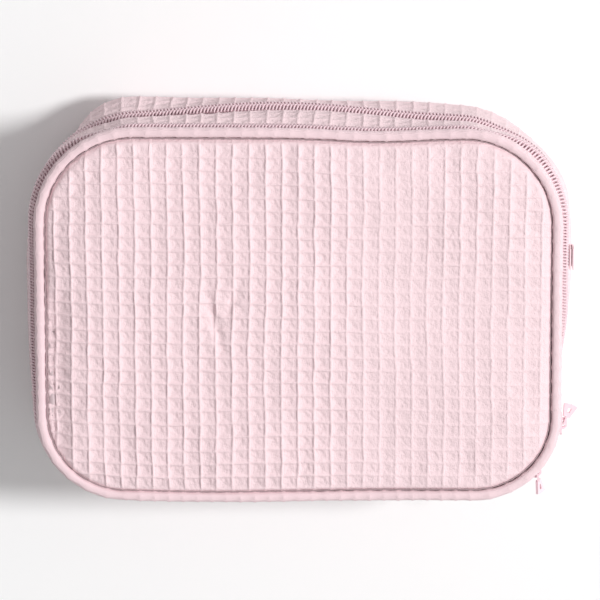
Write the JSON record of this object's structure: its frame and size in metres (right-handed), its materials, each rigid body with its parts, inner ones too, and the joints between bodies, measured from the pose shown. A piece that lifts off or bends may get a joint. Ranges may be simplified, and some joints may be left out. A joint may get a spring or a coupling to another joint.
{
  "type": "makeup bag",
  "caption": "Soft waffle-weave clamshell makeup bag with parallel zips, a divider between two compartments, and sliding zip pulls.",
  "frame": {"origin": "middle of the back panel's outer face, on which the bag lies", "axes": "+X along the bag's length, +Y towards the top edge of the front panel and away from the fabric hinges, +Z out of the front panel"},
  "size_m": [0.2733, 0.1934, 0.085],
  "materials": {
    "waffle_cotton": "soft waffle weave",
    "plain_cotton": "plain weave",
    "lining_cloth": "smooth woven lining",
    "foam_sheet": "open-cell foam",
    "binding_tape": "grosgrain tape",
    "zip_tape": "herringbone woven tape",
    "zip_coil": "satin nylon coil",
    "painted_zinc": "satin enamel on cast zinc"
  },
  "bodies": {
    "rear_shell": {"back_foam": "foam_sheet", "back_lining": "lining_cloth", "back_panel": "waffle_cotton", "back_piping": "plain_cotton", "back_seam_binding": "binding_tape", "rear_bottom_gusset": "waffle_cotton", "rear_gusset": "waffle_cotton", "rear_gusset_lining": "lining_cloth", "rear_zip_lower_coil": "zip_coil", "rear_zip_lower_tape": "zip_tape", "side_loop": "plain_cotton"},
    "middle_section": {"divider_board": "foam_sheet", "divider_front_lining": "lining_cloth", "divider_rear_lining": "lining_cloth", "divider_seam_binding": "binding_tape", "front_zip_lower_coil": "zip_coil", "front_zip_lower_tape": "zip_tape", "middle_bottom_gusset": "waffle_cotton", "middle_gusset": "waffle_cotton", "middle_gusset_lining": "lining_cloth", "rear_zip_upper_coil": "zip_coil", "rear_zip_upper_tape": "zip_tape"},
    "front_cover": {"front_foam": "foam_sheet", "front_lining": "lining_cloth", "front_panel": "waffle_cotton", "front_piping": "plain_cotton", "front_seam_binding": "binding_tape", "front_zip_upper_coil": "zip_coil", "front_zip_upper_tape": "zip_tape"},
    "rear_slider": {"rear_slider_body": "painted_zinc"},
    "rear_pull": {"rear_pull_tab": "painted_zinc"},
    "front_slider": {"front_slider_body": "painted_zinc"},
    "front_pull": {"front_pull_tab": "painted_zinc"}
  },
  "joints": [
    {"name": "middle_hinge", "type": "hinge", "parent": "rear_shell", "child": "middle_section", "pos_m": [0, -0.0965, 0.046], "axis": [1, 0, 0], "range_deg": [0, 175]},
    {"name": "front_hinge", "type": "hinge", "parent": "middle_section", "child": "front_cover", "pos_m": [0, -0.095, 0.075], "axis": [-1, 0, 0], "range_deg": [-175, 0]},
    {"name": "rear_slider_travel", "type": "slide", "parent": "rear_shell", "child": "rear_slider", "axis": [0, 1, 0], "range_m": [0, 0.108]},
    {"name": "rear_pull_swing", "type": "hinge", "parent": "rear_slider", "child": "rear_pull", "pos_m": [0.13365, -0.0645, 0.046], "axis": [0, 0, 1], "range_deg": [-142, 4]},
    {"name": "front_slider_travel", "type": "hinge", "parent": "middle_section", "child": "front_slider", "pos_m": [0.0875, -0.0515, 0.075], "axis": [0, 0, 1], "range_deg": [-7, 44]},
    {"name": "front_pull_swing", "type": "hinge", "parent": "front_slider", "child": "front_pull", "pos_m": [0.11962, -0.08252, 0.075], "axis": [0, 0, 1], "range_deg": [-36, 106]}
  ]
}
